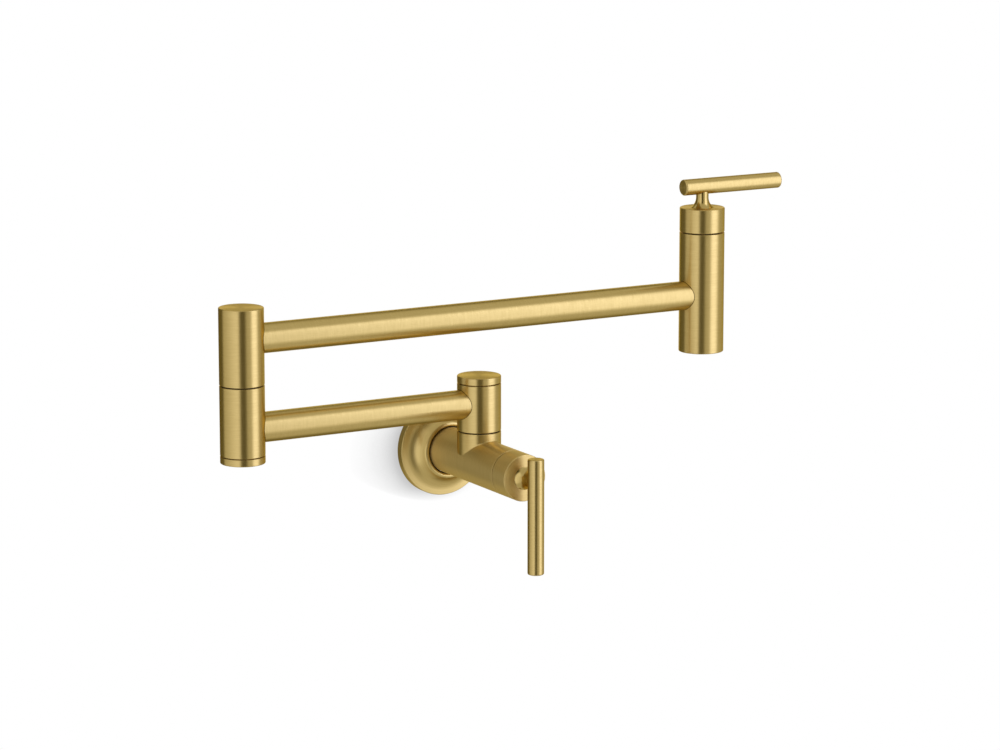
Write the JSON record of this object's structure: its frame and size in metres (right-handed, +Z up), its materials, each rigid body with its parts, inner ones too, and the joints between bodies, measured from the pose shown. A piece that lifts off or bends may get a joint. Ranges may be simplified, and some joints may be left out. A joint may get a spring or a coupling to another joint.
{
  "type": "pot filler",
  "caption": "Wall-mounted folding pot filler: round columns and swinging tube arms, with a quarter-turn lever valve at the wall and another on the outlet.",
  "frame": {"origin": "on the wall plane, at the mouth of the inlet thread, on the axis of the valve body", "axes": "+X along the wall to the right, +Y into the wall, +Z up; the part stands out towards -Y"},
  "size_m": [0.463, 0.1471, 0.2606],
  "materials": {
    "satin_brass": "satin, finely brushed around each turned piece, clear coated",
    "machined_brass": "bare machined",
    "rubber_seal": "matt moulded",
    "foam_gasket": "closed-cell foam",
    "white_acetal": "machined",
    "black_acetal": "moulded",
    "ceramic_disc": "lapped",
    "steel_fastener": "plain stainless",
    "aerator_plastic": "moulded"
  },
  "bodies": {
    "wall_valve": {"wall_flange": "satin_brass", "flange_o_ring": "rubber_seal", "wall_gasket": "foam_gasket", "inlet_adapter": "machined_brass", "adapter_o_rings": "rubber_seal", "body_set_screw": "steel_fastener", "valve_body": "satin_brass", "wall_seat_tube": "machined_brass", "wall_seat_seal": "rubber_seal", "wall_fixed_disc": "ceramic_disc", "wall_cartridge": "machined_brass", "wall_cartridge_o_ring": "rubber_seal", "wall_bonnet_nut": "machined_brass", "pivot_spindle": "machined_brass", "pivot_spindle_o_rings": "rubber_seal", "pivot_joint_washer": "black_acetal", "pivot_end_washer": "steel_fastener", "pivot_nut": "machined_brass"},
    "wall_lever_set": {"wall_moving_disc": "ceramic_disc", "wall_stem": "machined_brass", "wall_stem_o_ring": "rubber_seal", "wall_hub": "satin_brass", "wall_hub_screw": "steel_fastener", "wall_post": "satin_brass", "wall_lever": "satin_brass"},
    "lower_arm": {"pivot_sleeve": "satin_brass", "pivot_bush": "white_acetal", "pivot_end_bush": "white_acetal", "pivot_cap": "satin_brass", "lower_arm_tube": "satin_brass", "elbow_sleeve": "satin_brass", "elbow_bush": "white_acetal", "elbow_end_bush": "white_acetal", "elbow_cap": "satin_brass"},
    "upper_arm": {"elbow_head": "satin_brass", "elbow_spindle": "machined_brass", "elbow_spindle_o_rings": "rubber_seal", "elbow_joint_washer": "black_acetal", "elbow_end_washer": "steel_fastener", "elbow_nut": "machined_brass", "upper_arm_tube": "satin_brass", "outlet_column": "satin_brass", "outlet_seat_tube": "machined_brass", "outlet_seat_seal": "rubber_seal", "outlet_fixed_disc": "ceramic_disc", "outlet_cartridge": "machined_brass", "outlet_cartridge_o_ring": "rubber_seal", "outlet_bonnet_nut": "machined_brass", "aerator_housing": "machined_brass", "aerator_insert": "aerator_plastic", "aerator_gasket": "rubber_seal"},
    "outlet_lever_set": {"outlet_moving_disc": "ceramic_disc", "outlet_stem": "machined_brass", "outlet_stem_o_ring": "rubber_seal", "outlet_hub": "satin_brass", "outlet_hub_screw": "steel_fastener", "outlet_post": "satin_brass", "outlet_lever": "satin_brass"}
  },
  "joints": [
    {"name": "lower_arm_swing", "type": "hinge", "parent": "wall_valve", "child": "lower_arm", "pos_m": [0, -0.059, 0.0432], "axis": [0, 0, 1], "range_deg": [0, 180]},
    {"name": "upper_arm_swing", "type": "hinge", "parent": "lower_arm", "child": "upper_arm", "pos_m": [-0.19, -0.059, 0.075], "axis": [0, 0, -1], "continuous": true},
    {"name": "wall_lever_turn", "type": "hinge", "parent": "wall_valve", "child": "wall_lever_set", "pos_m": [0, -0.1074, 0], "axis": [0, -1, 0], "range_deg": [0, 90]},
    {"name": "outlet_lever_turn", "type": "hinge", "parent": "upper_arm", "child": "outlet_lever_set", "pos_m": [0.19, -0.059, 0.1539], "axis": [0, 0, -1], "range_deg": [0, 90]}
  ]
}
